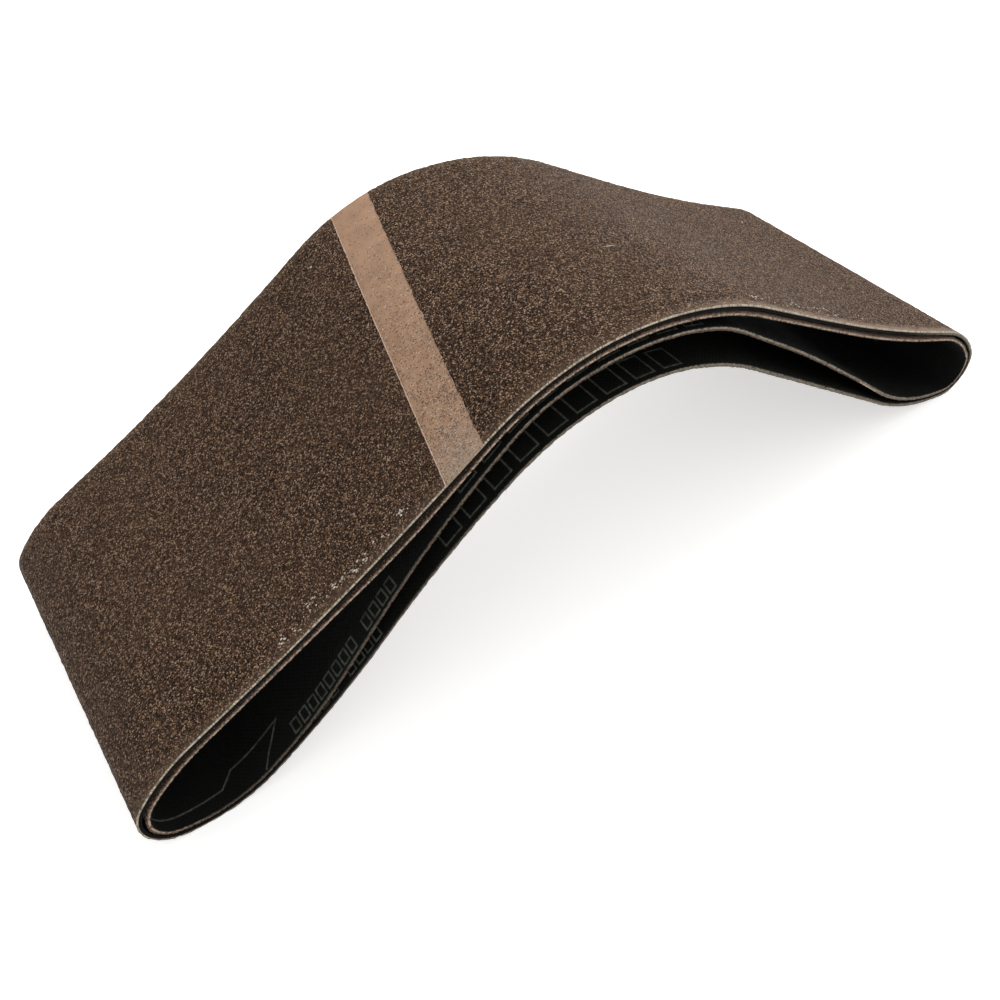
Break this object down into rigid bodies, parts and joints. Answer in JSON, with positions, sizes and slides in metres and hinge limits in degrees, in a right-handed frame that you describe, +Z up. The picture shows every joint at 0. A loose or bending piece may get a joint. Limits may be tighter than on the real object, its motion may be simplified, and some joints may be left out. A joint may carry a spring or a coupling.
{
  "type": "sanding belt pair",
  "caption": "Nested pair of endless cloth-backed abrasive belts, one lying inside the other, pressed into a low free-standing arch.",
  "frame": {"origin": "middle of the arch's footprint, on the surface that its two end bends stand on", "axes": "+X along the belts, +Y across their width, +Z up"},
  "size_m": [0.2292, 0.0762, 0.0704],
  "materials": {
    "back_coat": "near-black matt film over a woven cloth, the weave showing through",
    "cloth": "pale woven cotton, seen only along the cut edges, with short frayed fibres",
    "resin": "dark brown phenolic resin",
    "grain": "brown aluminium oxide grain of medium grit, rough and speckled, with small glints",
    "glue": "thin amber adhesive film",
    "lap": "tan ground-down lap with dark flecks of grain left in it"
  },
  "bodies": {
    "outer_belt": {"outer_back_coat": "back_coat", "outer_cloth": "cloth", "outer_make_coat": "resin", "outer_grain_coat": "grain", "outer_splice_glue": "glue", "outer_splice_lap": "lap"},
    "inner_belt": {"inner_back_coat": "back_coat", "inner_cloth": "cloth", "inner_make_coat": "resin", "inner_grain_coat": "grain", "inner_splice_glue": "glue", "inner_splice_lap": "lap"}
  },
  "joints": [
    {"name": "inner_belt_slide", "type": "slide", "parent": "outer_belt", "child": "inner_belt", "axis": [0, -1, 0], "range_m": [-0.085, 0.085]}
  ]
}
